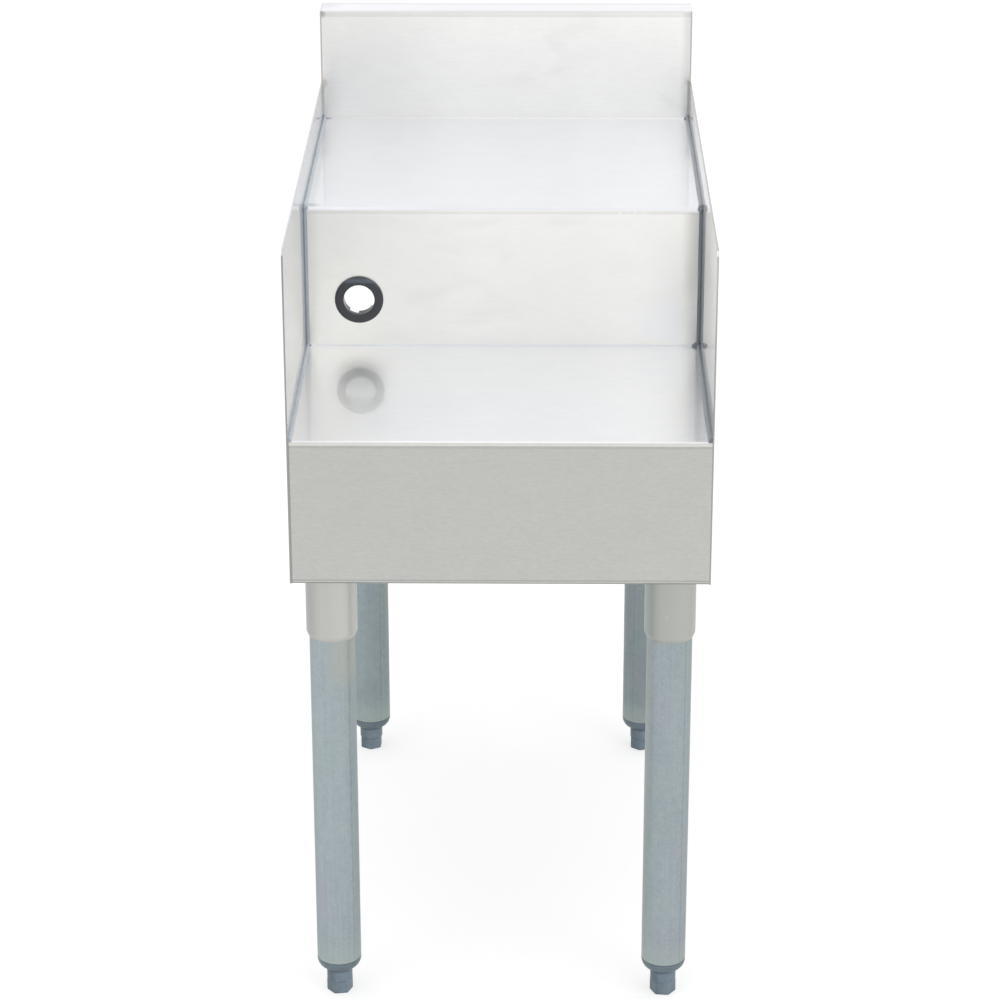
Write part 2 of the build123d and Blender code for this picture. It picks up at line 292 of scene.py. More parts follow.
def centreOn(paint, corner):  # places measured from a leg's axis
    axisX, axisY = legAxis(corner)
    return paint.stretch(paint.where, (1, 1, 1), (-axisX, -axisY, 0))


# Modelling helpers
setMode = bpy.ops.object.mode_set
weldWithin = 0.00001  # points nearer than this become one
slack = 0.00005  # within which a point counts as on a line


def activate(piece):  # leaves it alone selected, and active
    bpy.ops.object.select_all(action="DESELECT")
    bpy.context.view_layer.objects.active = piece
    piece.select_set(True)


def startPiece(name, addShape, **shape):  # a primitive, alone, with its place in its mesh
    bpy.ops.object.select_all(action="DESELECT")
    addShape(**shape)
    piece = bpy.context.object
    piece.name = name
    bpy.ops.object.transform_apply(location=True, rotation=True, scale=True)
    setMode(mode="EDIT")
    return piece


def startCylinder(name, sides, radius, low, high, turn=0.0):  # upright on Z, turned in degrees
    place, way = (0, 0, (high + low) / 2), (0, 0, math.radians(turn))
    return startPiece(name, bpy.ops.mesh.primitive_cylinder_add, vertices=sides, radius=radius,
                      depth=high - low, location=place, rotation=way)


def startLine(name, points):  # a chain of edges through the points
    piece = startPiece(name, bpy.ops.mesh.primitive_plane_add, size=0.001)
    bpy.ops.mesh.select_mode(type="VERT")
    bpy.ops.mesh.select_all(action="SELECT")
    bpy.ops.mesh.merge(type="CENTER")
    bpy.ops.transform.translate(value=points[0])
    for before, after in zip(points, points[1:]):
        step = tuple(Vector(after) - Vector(before))
        bpy.ops.mesh.extrude_vertices_move(TRANSFORM_OT_translate={"value": step})
    return piece


def pick(piece, kind, test):  # selects what has all its points pass the test
    bpy.ops.mesh.select_mode(type={"verts": "VERT", "edges": "EDGE", "faces": "FACE"}[kind])
    bpy.ops.mesh.select_all(action="DESELECT")
    shape = bmesh.from_edit_mesh(piece.data)
    for item in getattr(shape, kind):
        points = [item.co] if kind == "verts" else [vert.co for vert in item.verts]
        item.select_set(all(test(point) for point in points))
    bmesh.update_edit_mesh(piece.data)


def push(rise):  # extrudes the selected faces along Z
    bpy.ops.mesh.extrude_region_move(TRANSFORM_OT_translate={"value": (0, 0, rise)})


def near(value, wanted):
    return abs(value - wanted) < slack


def finishPiece(piece, smoothBelow):  # shades smooth across angles below this, in degrees
    bpy.ops.mesh.select_mode(type="FACE")
    bpy.ops.mesh.select_all(action="SELECT")
    bpy.ops.mesh.remove_doubles(threshold=weldWithin)
    bpy.ops.mesh.normals_make_consistent(inside=False)
    setMode(mode="OBJECT")
    bpy.ops.object.shade_smooth_by_angle(angle=math.radians(smoothBelow))
    return piece


def applyModifier(piece, kind, **settings):
    activate(piece)
    bpy.ops.object.modifier_add(type=kind)
    modifier = piece.modifiers[-1]
    for key, value in settings.items():
        setattr(modifier, key, value)
    bpy.ops.object.modifier_apply(modifier=modifier.name)


def joinPieces(name, pieces):
    bpy.ops.object.select_all(action="DESELECT")
    for piece in pieces:
        piece.select_set(True)
    bpy.context.view_layer.objects.active = pieces[0]
    if len(pieces) > 1:
        bpy.ops.object.join()
    pieces[0].name = name
    return pieces[0]


def copyPiece(piece, move=(0, 0, 0), turn=0.0):  # a copy with its own mesh, turned about Z, then moved
    activate(piece)
    bpy.ops.object.duplicate(linked=False)
    copy = bpy.context.object
    copy.rotation_euler = (0, 0, turn)
    copy.location = move
    bpy.ops.object.transform_apply(location=True, rotation=True, scale=True)
    return copy


def removePiece(piece):
    bpy.data.objects.remove(piece, do_unlink=True)


def settle(piece, material, body, slot, *nodes):
    piece.data.materials.clear()
    piece.data.materials.append(material)
    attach(piece, body)
    if nodes:
        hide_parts(*nodes)


# Stainless sheet: grain along X, cloudy patches, soft waves, and a thin clear sheen that mirrors what is near
steelSet = {
    # painted light and shade: the upright, deck, apron and return colours are lit and shaded copies of one
    # steel, and the apron's dark colour is a painted reflection of the floor
    "uprightColor": (0.93, 0.926, 0.904),
    "deckColor": (0.897, 0.91, 0.955),
    "apronColor": (0.474, 0.479, 0.451),
    "returnColor": (0.90, 0.885, 0.93),
    "undersideColor": (0.68, 0.69, 0.70),
    "warmColor": (0.938, 0.933, 0.892),  # low on the riser
    "leftShade": 0.85,  # tone at the left ends of the riser and the backsplash
    "sideLift": 0.10,  # evens out the light lost between the end panels
    "grainAcross": 620.0, "grainAlong": 75.0,
    "grainDepth": 0.10,
    "grainBump": (0.12, 0.0002),  # strength and height
    "cloudScale": 16.0, "cloudDepth": 0.05,
    "patchScale": (33.0, 55.0, 55.0), "patchDepth": 0.05,
    "roughness": 0.36,
    "cloudRough": 0.1, "grainRough": 0.1,
    "waveScale": 7.0, "waveBump": (1.0, 0.0006),
    "coatRoughness": 0.035,
}


def brushedSteel(paint, color, s, grain=None, sheen=None):
    lines = paint.noise(paint.where, grain or (s["grainAlong"], s["grainAcross"], s["grainAcross"]), 4.0, 0.6)
    clouds = paint.noise(paint.where, s["cloudScale"], 3.0)
    patches = paint.noise(paint.where, s["patchScale"], 2.0, 0.5, 0.5)
    tone = lines.swing(s["grainDepth"]) + clouds.swing(s["cloudDepth"]) + patches.swing(s["patchDepth"]) + 1.0
    rough = clouds.swing(s["cloudRough"]) + lines.swing(s["grainRough"]) + s["roughness"]
    waves = paint.noise(paint.where, s["waveScale"], 1.0, 0.4)
    normal = paint.bump(lines, *s["grainBump"], paint.bump(waves, *s["waveBump"]))
    paint.set(roughness=rough, normal=normal, metallic=1.0)
    paint.set(coatWeight=1.0, coatRoughness=sheen or s["coatRoughness"])
    return paint.tint(color, tone)


bodyAreaSet = {  # in metres past a face, where a mask starts and where it is full
    "deckBand": (0.0012, 0.0014),  # half height and soft edge
    "lowerDeckBand": (0.004, 0.004),
    "deckStart": (0.001, 0.003),
    "deckEnd": (-0.0012, 0.0),
    "apronDepth": (0.0022, 0.0012),
    "returnHeight": (-0.0016, -0.0008),
    "wallBand": (0.001, 0.001),  # half depth and soft edge of the riser and the backsplash
    "riserTop": (-0.002, -0.006),
    "riserFall": (-0.015, 0.02),  # from under the upper deck to over the lower one
    "riserFoot": (0.0, 0.003), "backFoot": (0.0, 0.004),
    "backFall": (0.01, 0.07),
    "underHeight": (-0.00115, -0.00106), "underDepth": (0.00106, 0.00115),
    "underReach": (-0.012, -0.006),
    "underFoot": (0.0, 0.01),
}


def bodyAreas(paint, a):  # masks, each 1 on its part of the folded sheet
    x, y, z = paint.split()
    deck = z.band(lowerDeck, *a["deckBand"]).most(z.band(upperDeck, *a["deckBand"]))
    deck = deck * y.past(bodyFront, *a["deckStart"]) * y.past(backsplashFace, *a["deckEnd"], 1.0, 0.0)
    apron = y.past(bodyFront, *a["apronDepth"])
    topReturn = z.past(bodyTop, *a["returnHeight"])
    upright = (1 - deck) * (1 - apron) * (1 - topReturn)
    atRiser = y.band(riserFace, *a["wallBand"])
    riser = upright * z.past(upperDeck, *a["riserTop"]) * atRiser
    fall = z.fade(upperDeck + a["riserFall"][0], lowerDeck + a["riserFall"][1])
    backsplash = upright * z.past(upperDeck, *a["backFoot"]) * y.band(backsplashFace, *a["wallBand"])
    low = z.past(lowerDeck, *a["underHeight"], 1.0, 0.0) * z.past(lowerDeck, *a["underReach"])
    low = low * y.past(bodyFront, *a["underDepth"])
    high = z.past(upperDeck, *a["underHeight"], 1.0, 0.0) * z.past(upperDeck, *a["underReach"])
    high = high * y.past(riserFace, *a["underDepth"]) * z.past(lowerDeck, *a["underFoot"])
    return {
        "deck": deck, "apron": apron, "return": topReturn, "upright": upright,
        "riser": riser, "backsplash": backsplash, "underside": low.most(high),
        "lowerDeck": deck * z.band(lowerDeck, *a["lowerDeckBand"]),
        "lowRiser": fall * riser,
        "lowBacksplash": backsplash * z.past(upperDeck, *a["backFall"], 1.0, 0.0),
        "warm": fall * z.past(lowerDeck, *a["riserFoot"]) * atRiser,
    }


bodyToneSet = {
    "leftFade": (-0.19, -0.02),
    "lowLeftShare": 0.45,  # of that shade, which the riser's lower part goes without
    "riserShade": (0.03, 0.16, 0.055, 0.0),  # from X, to X, and how much darker at each
    "lowRiserLift": 0.06, "rightEnd": (0.167, 0.188),  # of the riser, which mirrors the right end panel
    "rightEndShade": 0.43,
    "lowRightLift": 0.2,
    "ends": [  # painted light and shade at the ends, with a dark line at the apron's left end: area, from X, to X, and how much lighter or darker at each
        ("lowRiser", 0.12, 0.17, 0.0, 0.03),
        ("lowRiser", -0.18, -0.11, 0.09, 0.0),
        ("riser", -0.187, -0.173, -0.15, 0.0),
        ("backsplash", 0.178, 0.188, 0.0, -0.2),
        ("backsplash", -0.187, -0.166, -0.06, 0.0),
        ("lowBacksplash", -0.185, -0.12, 0.10, 0.0),
        ("lowerDeck", 0.166, 0.184, 0.0, -0.17),
        ("apron", -0.1883, -0.1877, -0.42, 0.0),
    ],
    # painted light on the lower deck
    "lowerDeckLift": 0.03,
    "leftSide": (-0.18, -0.06, 1.0, 0.0), "rightSide": (0.06, 0.18, 0.0, 0.55),
    "sideAbove": (-0.001, 0.0, 1.0, 0.45),  # less of the side lift above the upper deck
    "dashScale": (170.0, 1.0, 700.0),  # short strokes of the apron's grain
    "dashDepth": 0.2,
    "driftScale": (9.0, 1.0, 22.0),
    "driftShade": (0.5, 0.75, 0.0, 0.05),
    "cornerDown": 0.003,  # dark spot at the backsplash's top left corner
    "cornerSize": 0.006, "cornerShade": 0.5,
    "smearBehind": 0.0095,  # middle of the sealant wiped over the deck's left corner, from the riser
    "smearBand": (0.004, 0.001),
    "smearFade": (-0.182, -0.170, 0.3, 0.0),
}


def bodyTone(paint, areas, s, t):
    x, y, z = paint.split()
    upright, riser, lowRiser = areas["upright"], areas["riser"], areas["lowRiser"]
    tone = 1 - upright * x.fade(*t["leftFade"], 1 - s["leftShade"], 0.0) * (1 - lowRiser * t["lowLeftShare"])
    tone = tone * (1 - riser * (x.fade(*t["riserShade"]) - lowRiser * t["lowRiserLift"]))
    rightShade = t["rightEndShade"] - lowRiser * lowRiser * t["lowRightLift"]
    tone = tone * (1 - riser * x.fade(*t["rightEnd"]) * rightShade)
    # painted light and shade at the ends, and painted light on the lower deck
    for area, *fade in t["ends"]:
        tone = tone * (1 + areas[area] * x.fade(*fade))
    tone = tone * (1 + areas["lowerDeck"] * t["lowerDeckLift"])
    sides = x.fade(*t["leftSide"]) + x.fade(*t["rightSide"])
    tone = tone * (1 + sides * z.past(upperDeck, *t["sideAbove"]) * (1 - areas["apron"]) * s["sideLift"])
    dashes = paint.noise(paint.where, t["dashScale"], 2.0, 0.6)
    drift = paint.noise(paint.where, t["driftScale"], 2.0, 0.5, 0.8)
    tone = tone * (1 + areas["apron"] * dashes.swing(t["dashDepth"]))
    tone = tone * (1 - upright * drift.fade(*t["driftShade"]))
    corner = paint.spot((-halfPanel, backsplashFace, bodyTop - t["cornerDown"]), t["cornerSize"])
    smear = areas["deck"] * z.fade(lowerDeck, upperDeck)
    smear = smear * y.band(riserFace + t["smearBehind"], *t["smearBand"])
    return tone * (1 - corner * t["cornerShade"]) * (1 - smear * x.fade(*t["smearFade"]))


bodyEdgeSet = {
    "rub": (0.121, 0.013, 0.004),  # rubbed stretch under the nose: middle X, half width and soft edge
    "rubReach": 0.01,
    "rubScale": (420.0, 84.0, 84.0),
    "rubbed": (0.5, 0.6),
    "rubClears": 0.7,
    "shadowDown": 0.0046,  # of the shadow line below a nose
    "shadowBand": (0.0006, 0.0012), "shadowDepth": (0.001, 0.001),
    "shadowTone": 0.87,
    # painted highlight along the apron's nose, and painted shade on the riser's and the return's noses
    "noseDown": 0.0017,
    "noseHeight": (0.0012, 0.0008),
    "noseIn": 0.0015,
    "noseDepth": (0.0016, 0.0008),
    "noseTone": {"riser": 0.93, "apron": 1.45, "return": 0.86},
    "coveIn": 0.0006,  # of the painted shade in the inside fold at the lower deck
    "coveHeight": (0.0006, 0.0004), "coveDepth": (0.0007, 0.0005),
    "coveTone": 0.88,
    "hemLine": 0.0042,  # of the painted shade line at the apron's hem, above its bottom edge
    "hemBand": (0.0002, 0.0007), "hemTone": 0.72,
    # painted shade along the apron's bottom edge, where the sheet turns under
    "bottomTurnHeight": (0.0026, 0.0012), "bottomTurnDepth": (0.0005, 0.0035, 1.0, 0.6),
    "bottomTurnShade": 0.65,
    "lipDepth": (-0.0085, -0.0055), "lipShade": 0.22,
}


def bodyEdges(paint, areas, e):  # tone of the folds, the hem and the rear lip: painted highlights on the noses and painted shade lines
    x, y, z = paint.split()
    rubbed = paint.noise(paint.where, e["rubScale"], 2.0).fade(*e["rubbed"]) * x.band(*e["rub"])
    rubbed = rubbed * z.fade(lowerDeck, upperDeck - e["rubReach"])
    rubbed = rubbed * z.fade(upperDeck + e["rubReach"], bodyTop, 1.0, 0.0)
    tone = 1 - areas["return"] * y.past(bodyRear, *e["lipDepth"]) * e["lipShade"]
    noses = {"riser": (upperDeck, riserFace), "apron": (lowerDeck, bodyFront),
             "return": (bodyTop, backsplashFace)}
    for part, (top, front) in noses.items():
        below = z.band(top - e["shadowDown"], *e["shadowBand"]) * y.band(front, *e["shadowDepth"])
        tone = tone * (1 - below * (1 - rubbed * e["rubClears"]) * (1 - e["shadowTone"]))
        # painted highlight or painted shade along each nose, by its tone
        nose = z.band(top - e["noseDown"], *e["noseHeight"]) * y.band(front + e["noseIn"], *e["noseDepth"])
        tone = tone * (1 - nose * (1 - e["noseTone"][part]))
    # painted shade in the inside fold at the lower deck and along the hem
    cove = z.band(lowerDeck + e["coveIn"], *e["coveHeight"])
    cove = cove * y.band(riserFace - e["coveIn"], *e["coveDepth"])
    hem = z.band(apronBottom + e["hemLine"], *e["hemBand"]) * areas["apron"]
    # painted shade along the apron's bottom edge, where the sheet turns under
    bottomTurn = z.past(apronBottom, *e["bottomTurnHeight"]) * y.past(bodyFront, *e["bottomTurnDepth"])
    tone = tone * (1 - cove * (1 - e["coveTone"])) * (1 - hem * (1 - e["hemTone"]))
    return tone * (1 - bottomTurn * e["bottomTurnShade"])


bodyStainSet = {
    "end": (0.008, 0.03),  # of the return's cool left end: how far in from the rear, and its size
    "endShare": 0.6, "endTint": (0.66, 0.69, 0.76),
    "heatDown": {-1: 0.003, 1: 0.001},  # of the welds' heat marks below the rim
    "heatSize": 0.0075, "heatShare": 0.8,
    "heatTint": (0.58, 0.54, 0.45),
}


def paintBody(s, m):
    paint = Paint("brushedBody")
    areas = bodyAreas(paint, bodyAreaSet)
    # colours by area: the upright, deck, apron and return ones are painted light and shade
    color = s["uprightColor"]
    for area in ("deck", "apron", "return", "underside", "warm"):
        color = paint.mix(areas[area], color, s[area + "Color"])
    base = brushedSteel(paint, color, s)
    base = paint.tint(base, bodyTone(paint, areas, s, bodyToneSet) * bodyEdges(paint, areas, bodyEdgeSet))
    inwards, size = m["end"]
    end = areas["return"] * paint.spot((-halfPanel, bodyRear - inwards, bodyTop), size)
    base = paint.mix(end * m["endShare"], base, m["endTint"])
    heat = [paint.spot((side * halfPanel, backsplashFace, rimHeight - down), m["heatSize"])
            for side, down in m["heatDown"].items()]
    paint.set(baseColor=paint.mix(heat[0].most(heat[1]) * m["heatShare"], base, m["heatTint"]))
    return paint.material


panelSet = {  # by side, -1 on the left and 1 on the right
    # painted light and shade: the panels are lit and shaded copies of one steel, with a colour by side and by
    # height
    "low": {-1: (0.71, 0.715, 0.705), 1: (0.65, 0.65, 0.605)},
    "high": {-1: (0.60, 0.61, 0.64), 1: (1.0, 1.0, 1.0)},
    "rise": (0.66, 0.74),  # Z from the low colour to the high one
    "outside": (0.80, 0.80, 0.79),
    "outsideFrom": (0.0006, 0.001),
    "frontEdge": {-1: 0.4, 1: 0.48},  # tone of the cut edge at the front
    "frontDepth": (0.0012, 0.0003),
    "backEdge": {-1: 0.68, 1: 0.5},
    "backHeight": (0.001, 0.003), "backDepth": (0.0003, 0.0008),
    "rimTint": (0.4, 0.38, 0.34), "rimShare": 0.9,
    "rimHeight": (-0.0010, -0.0004), "rimDepth": (-0.001, 0.0),
    "heatUp": 0.002,
    "heatSize": 0.009, "heatShare": 0.7,
    "sheen": 0.018,
}


def paintPanel(side, s, p):
    paint = Paint("brushedPanelLeft" if side < 0 else "brushedPanelRight")
    x, y, z = paint.split()
    # painted light and shade: colour by side and by height
    color = paint.mix(z.fade(*p["rise"]), p["low"][side], p["high"][side])
    color = paint.mix(x.size().past(halfPanel, *p["outsideFrom"]), color, p["outside"])
    base = brushedSteel(paint, color, s, (s["grainAcross"], s["grainAlong"], s["grainAcross"]), p["sheen"])
    front = y.past(bodyFront, *p["frontDepth"])
    back = z.past(rimHeight, *p["backHeight"]) * y.past(backsplashFace, *p["backDepth"], 1.0, 0.0)
    base = paint.tint(base, (1 - front * (1 - p["frontEdge"][side])) * (1 - back * (1 - p["backEdge"][side])))
    if side > 0:
        rim = z.past(rimHeight, *p["rimHeight"]) * y.past(backsplashFace, *p["rimDepth"], 1.0, 0.0)
        base = paint.mix(rim * p["rimShare"], base, p["rimTint"])
    heat = paint.spot((side * halfPanel, backsplashFace, rimHeight + p["heatUp"]), p["heatSize"])
    paint.set(baseColor=paint.mix(heat * p["heatShare"], base, bodyStainSet["heatTint"]))
    return paint.material


def putOn(node, material):
    piece = cadNodes[node]
    piece.data.materials.clear()
    piece.data.materials.append(material)


putOn("body_sheet", paintBody(steelSet, bodyStainSet))
putOn("left_end_panel", paintPanel(-1, steelSet, panelSet))
putOn("right_end_panel", paintPanel(1, steelSet, panelSet))
print("sheet metal finished")


# Leg sockets: turned stainless with fine rings, and a weld ring under each plate
frontHalf = (-0.004, 0.004, 1.0, 0.0)  # fade along Y that is 1 on the front of a leg
socketSet = {  # places across are shares of the radius, from -1 on the left to 1
    # per corner colours, lit and shaded copies of one steel: painted light and shade
    "color": {"front_left": (0.485, 0.485, 0.466), "front_right": (0.405, 0.415, 0.388),
              "rear_left": (0.45, 0.45, 0.44), "rear_right": (0.45, 0.45, 0.44)},
    "cool": (0.41, 0.455, 0.44),
    "coolness": {"front_left": 0.4, "front_right": 0.8, "rear_left": 0.2, "rear_right": 0.2},
    "coolReach": (-0.9, -0.55),
    "radius": 0.0237,
    "ringScale": (8.0, 8.0, 1400.0), "ringDepth": 0.06,
    "ringBump": (0.05, 0.0002),
    "cloudScale": 60.0, "cloudDepth": 0.1,
    "leftShade": (-0.95, -0.25, 0.2, 0.0),
    "line": (0.78, 0.01, 0.04),  # a fine dark line: its place, half width and soft edge
    "lineDepth": 0.03,
    "glowRise": (-0.2, 0.5), "glowFall": (0.6, 1.0, 0.07, 0.0),
    "footShade": (0.0008, 0.003, 0.1, 0.0),
    "roughness": 0.42, "roughDepth": 0.2,
    "dimple": (0.152, -0.2865, 0.404),
    "dimpleSize": 0.003, "dimpleBump": (0.3, 0.001),
    "dimpleLift": 0.1,
}


def paintSocket(corner, s):
    paint = Paint("turnedSocket_" + corner)
    centred = centreOn(paint, corner)
    x, y, z = paint.split(centred)
    across = x / s["radius"]
    facing = y.fade(*frontHalf)
    rings = paint.noise(centred, s["ringScale"], 3.0)
    clouds = paint.noise(centred, s["cloudScale"], 3.0)
    tone = rings.swing(s["ringDepth"]) + clouds.swing(s["cloudDepth"]) + 1.0 - across.fade(*s["leftShade"])
    tone = tone - across.band(*s["line"]) * facing * s["lineDepth"]
    tone = tone + across.fade(*s["glowRise"]) * across.fade(*s["glowFall"])
    tone = tone - z.past(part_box(corner + "_leg_socket")[0][2], *s["footShade"])
    cool = across.fade(*s["coolReach"], s["coolness"][corner], 0.0) * facing
    # per corner colour: painted light and shade
    base = paint.tint(paint.mix(cool, s["color"][corner], s["cool"]), tone)
    normal = paint.bump(rings, *s["ringBump"])
    if corner == "front_right":
        dent = paint.spot(s["dimple"], s["dimpleSize"])
        normal = paint.bump(1 - dent, *s["dimpleBump"], normal)
        base = paint.tint(base, dent * s["dimpleLift"] + 1)
    paint.set(baseColor=base, metallic=1.0, normal=normal, coatWeight=0.3, coatRoughness=0.3)
    paint.set(roughness=clouds.swing(s["roughDepth"]) + s["roughness"])
    return paint.material


weldSet = {"wire": 0.0016, "ripples": 40, "ripple": 0.00035, "plate": 0.003}


def makeWeld(corner, s):
    axisX, axisY = legAxis(corner)
    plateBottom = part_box(corner + "_leg_socket")[1][2] - s["plate"]
    torus = bpy.ops.mesh.primitive_torus_add
    piece = startPiece(corner + "_socket_weld", torus, major_segments=160, minor_segments=10,
                       major_radius=socketSet["radius"], minor_radius=s["wire"],
                       location=(axisX, axisY, plateBottom))

    def onCrest(point):
        way = math.atan2(point.y - axisY, point.x - axisX) / (2 * math.pi) * s["ripples"]
        return way % 1.0 < 0.5

    pick(piece, "verts", onCrest)
    bpy.ops.transform.shrink_fatten(value=s["ripple"])
    finishPiece(piece, 50)
    return piece


for corner in corners:
    socketPaint = paintSocket(corner, socketSet)
    putOn(corner + "_leg_socket", socketPaint)
    settle(makeWeld(corner, weldSet), socketPaint, "station", "stainless_sockets")
print("sockets and welds made")


# Legs: galvanized tube, blue-grey with streaks down it, a seam line and cloudy patches
tubeSet = {  # places across are shares of the radius, from -1 on the left to 1
    # the rear legs' darker colours are painted shade under the table
    "front": ((0.31, 0.37, 0.395), (0.39, 0.445, 0.465)),
    "rear": ((0.235, 0.285, 0.30), (0.295, 0.345, 0.355)),
    "paleGreen": (0.36, 0.43, 0.405),
    "lilac": (0.365, 0.385, 0.43),
    "hueStretch": (1, 1, 0.3), "hueScale": 26.0,
    "greenHue": (0.52, 0.68, 0.0, 0.6), "lilacHue": (0.46, 0.3, 0.0, 0.6),
    "fullGreen": 0.445,  # green of the front legs' light colour, at which the hues are full
    "shift": 3.7,  # of the noises from leg to leg
    "streakScale": (420.0, 420.0, 5.0), "streakDepth": 0.55,
    "cloudStretch": (1, 1, 0.45),
    "cloudScale": 42.0, "cloudDepth": 1.3,
    "spangle": 130.0,
    "spangleMean": 0.4, "spangleDepth": 0.35,
    "speckScale": 480.0, "speckDepth": 0.3,
    # per corner tone: painted light and shade
    "tone": {"front_left": 1.0, "front_right": 0.95, "rear_left": 1.08, "rear_right": 0.95},
    "seam": {"front_left": 0.73, "front_right": 0.7, "rear_left": 0.6, "rear_right": -0.5},
    "seamBand": (0.012, 0.03), "seamDepth": 0.12,
    "sideShade": (0.72, 1.0, 1.0, 0.86),
    "radius": 0.0211,
    "grainStretch": (1, 1, 0.28),
    "grain": {"Scale": 60.0, "Distortion": 5.0, "Detail": 2.0, "Detail Scale": 2.2},
    "grainFrom": (0.55, 0.95),
    "grainHeight": (0.10, 0.16, 0.05, 0.0),
    "greenEnd": (0.38, 0.44, 0.405), "greenHeight": (0.004, 0.03, 0.4, 0.0),
    "patchTint": (0.44, 0.45, 0.37),
    "patch": (0.011, -0.018, 0.360), "patchSize": 0.05,
    "patchSide": (-0.012, 0.012), "patchClouds": (0.25, 0.6, 0.3, 0.65),
    "warmSide": (-1.0, -0.7, 0.28, 0.0),
    "bump": (0.18, 0.0003), "bumpShare": 0.6,
    "roughness": 0.42, "roughDepth": 0.3,
}


def paintTube(corner, s):
    paint = Paint("galvanizedTube_" + corner)
    centred = centreOn(paint, corner)
    x, y, z = paint.split(centred)
    shift = corners.index(corner) * s["shift"]
    streaks = paint.noise(paint.stretch(centred, s["streakScale"], (shift, 0, shift)), 1.0, 3.0, 0.6)
    stretched = paint.stretch(centred, s["cloudStretch"], (0, shift, 0))
    clouds = paint.noise(stretched, s["cloudScale"], 4.0, 0.6, 0.6)
    cells = paint.add("TexVoronoi", {"feature": "SMOOTH_F1"},
                      {"Vector": centred, "Scale": s["spangle"], "Smoothness": 0.6})
    # front or rear colours, the rear ones darker as painted shade
    dark, light = s[corner.split("_")[0]]
    mixed = streaks.swing(s["streakDepth"]) + clouds.swing(s["cloudDepth"])
    mixed = mixed + (cells - s["spangleMean"]) * s["spangleDepth"] + 0.5
    color = paint.mix(mixed.fade(0.0, 1.0), dark, light)
    stretched = paint.stretch(centred, s["hueStretch"], (shift, shift, 0))
    hue = paint.noise(stretched, s["hueScale"], 2.0, 0.5, 1.0)
    full = light[1] / s["fullGreen"]
    color = paint.mix(hue.fade(*s["greenHue"]), color, paint.tint(s["paleGreen"], full))
    color = paint.mix(hue.fade(*s["lilacHue"]), color, paint.tint(s["lilac"], full))
    across = x / s["radius"]
    facing = y.fade(*frontHalf)
    seam = across.band(s["seam"][corner], *s["seamBand"]) * facing
    # random specks, and a per corner tone that is painted light and shade
    tone = paint.noise(centred, s["speckScale"], 2.0, 0.6).swing(s["speckDepth"]) + s["tone"][corner]
    tone = tone - seam * s["seamDepth"]
    if corner == "front_left":
        grain = paint.add("TexWave", {"wave_type": "BANDS", "bands_direction": "X", "wave_profile": "SAW"},
                          {"Vector": paint.stretch(centred, s["grainStretch"]), **s["grain"]}, out="Fac")
        tone = tone - z.fade(*s["grainHeight"]) * (1 - grain).fade(*s["grainFrom"])
    base = paint.tint(color, tone * across.size().fade(*s["sideShade"]))
    base = paint.mix(z.past(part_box(corner + "_leg")[0][2], *s["greenHeight"]), base, s["greenEnd"])
    if corner == "front_left":
        stain = paint.spot(s["patch"], s["patchSize"], centred).fade(0.0, 0.9) * x.fade(*s["patchSide"])
        base = paint.mix(stain * clouds.fade(*s["patchClouds"]), base, s["patchTint"])
    if corner == "front_right":
        base = paint.mix(across.fade(*s["warmSide"]) * facing, base, s["patchTint"])
    paint.set(baseColor=base, metallic=0.9)
    paint.finish(s, clouds, (streaks + cells) * s["bumpShare"])
    return paint.material


for corner in corners:
    putOn(corner + "_leg", paintTube(corner, tubeSet))
print("legs finished")


# Feet: a turned collar on a hexagon, with a threaded stem, under a moulded plastic plug
footSet = {
    "hexWidth": 0.0215,
    "hexHeight": 0.013,
    "collarRadius": 0.01225,
    "collarHeight": 0.0125,
    "collarChamfer": 0.001,
    "soleChamfer": 0.0004,
    "recess": (0.004, 0.0006),  # how far in from the collar's rim, and how deep
    "stemRadius": 0.006,
    "stemChamfer": 0.0008,
    "threadRoot": 0.002,  # how far the thread and its core start inside the collar
    "coreRoot": 0.001,
    "threadDepth": 0.0008, "threadPitch": 0.00175,
    "turn": {"front_left": 9.0, "front_right": -6.0, "rear_left": 27.0, "rear_right": 20.0},
    "color": (0.125, 0.165, 0.19),
    # lighter colour that comes with cloudy wear, and towards the right side as painted light
    "wearAndLightColor": (0.215, 0.27, 0.325),
    "stemColor": (0.42, 0.44, 0.45),
    "stemFrom": (0.0002, 0.0008),  # above the collar
    "cloudScale": 160.0, "cloudDepth": 1.1,
    "lineScale": (90.0, 90.0, 1400.0), "lineDepth": 0.14,
    # painted light: lighter towards the right side
    "litSide": (-0.0111111, 0.0044444, -0.3, 0.2),
    "topShade": (-0.0036, -0.0008, 0.0, 0.35),
    "soleShade": (0.0003, 0.0014, 0.25, 0.0),
    "dent": (-0.002, -0.0108, 0.0095),
    "dentSize": 0.0018, "dentShade": 0.25,
    "bump": (0.2, 0.0003),
    "roughness": 0.4, "roughDepth": 0.25,
}


def makeThread(radius, depth, pitch, bottom, top):
    root = radius - depth
    turns = round((top - bottom) / pitch) - 1
    points = [(root, 0, bottom), (radius, 0, bottom + pitch / 2), (root, 0, bottom + pitch)]
    piece = startLine("thread", points)
    setMode(mode="OBJECT")
    applyModifier(piece, "SCREW", angle=2 * math.pi, screw_offset=pitch, iterations=turns, steps=28,
                  render_steps=28, use_merge_vertices=True, merge_threshold=weldWithin)
    setMode(mode="EDIT")
    return finishPiece(piece, 25)


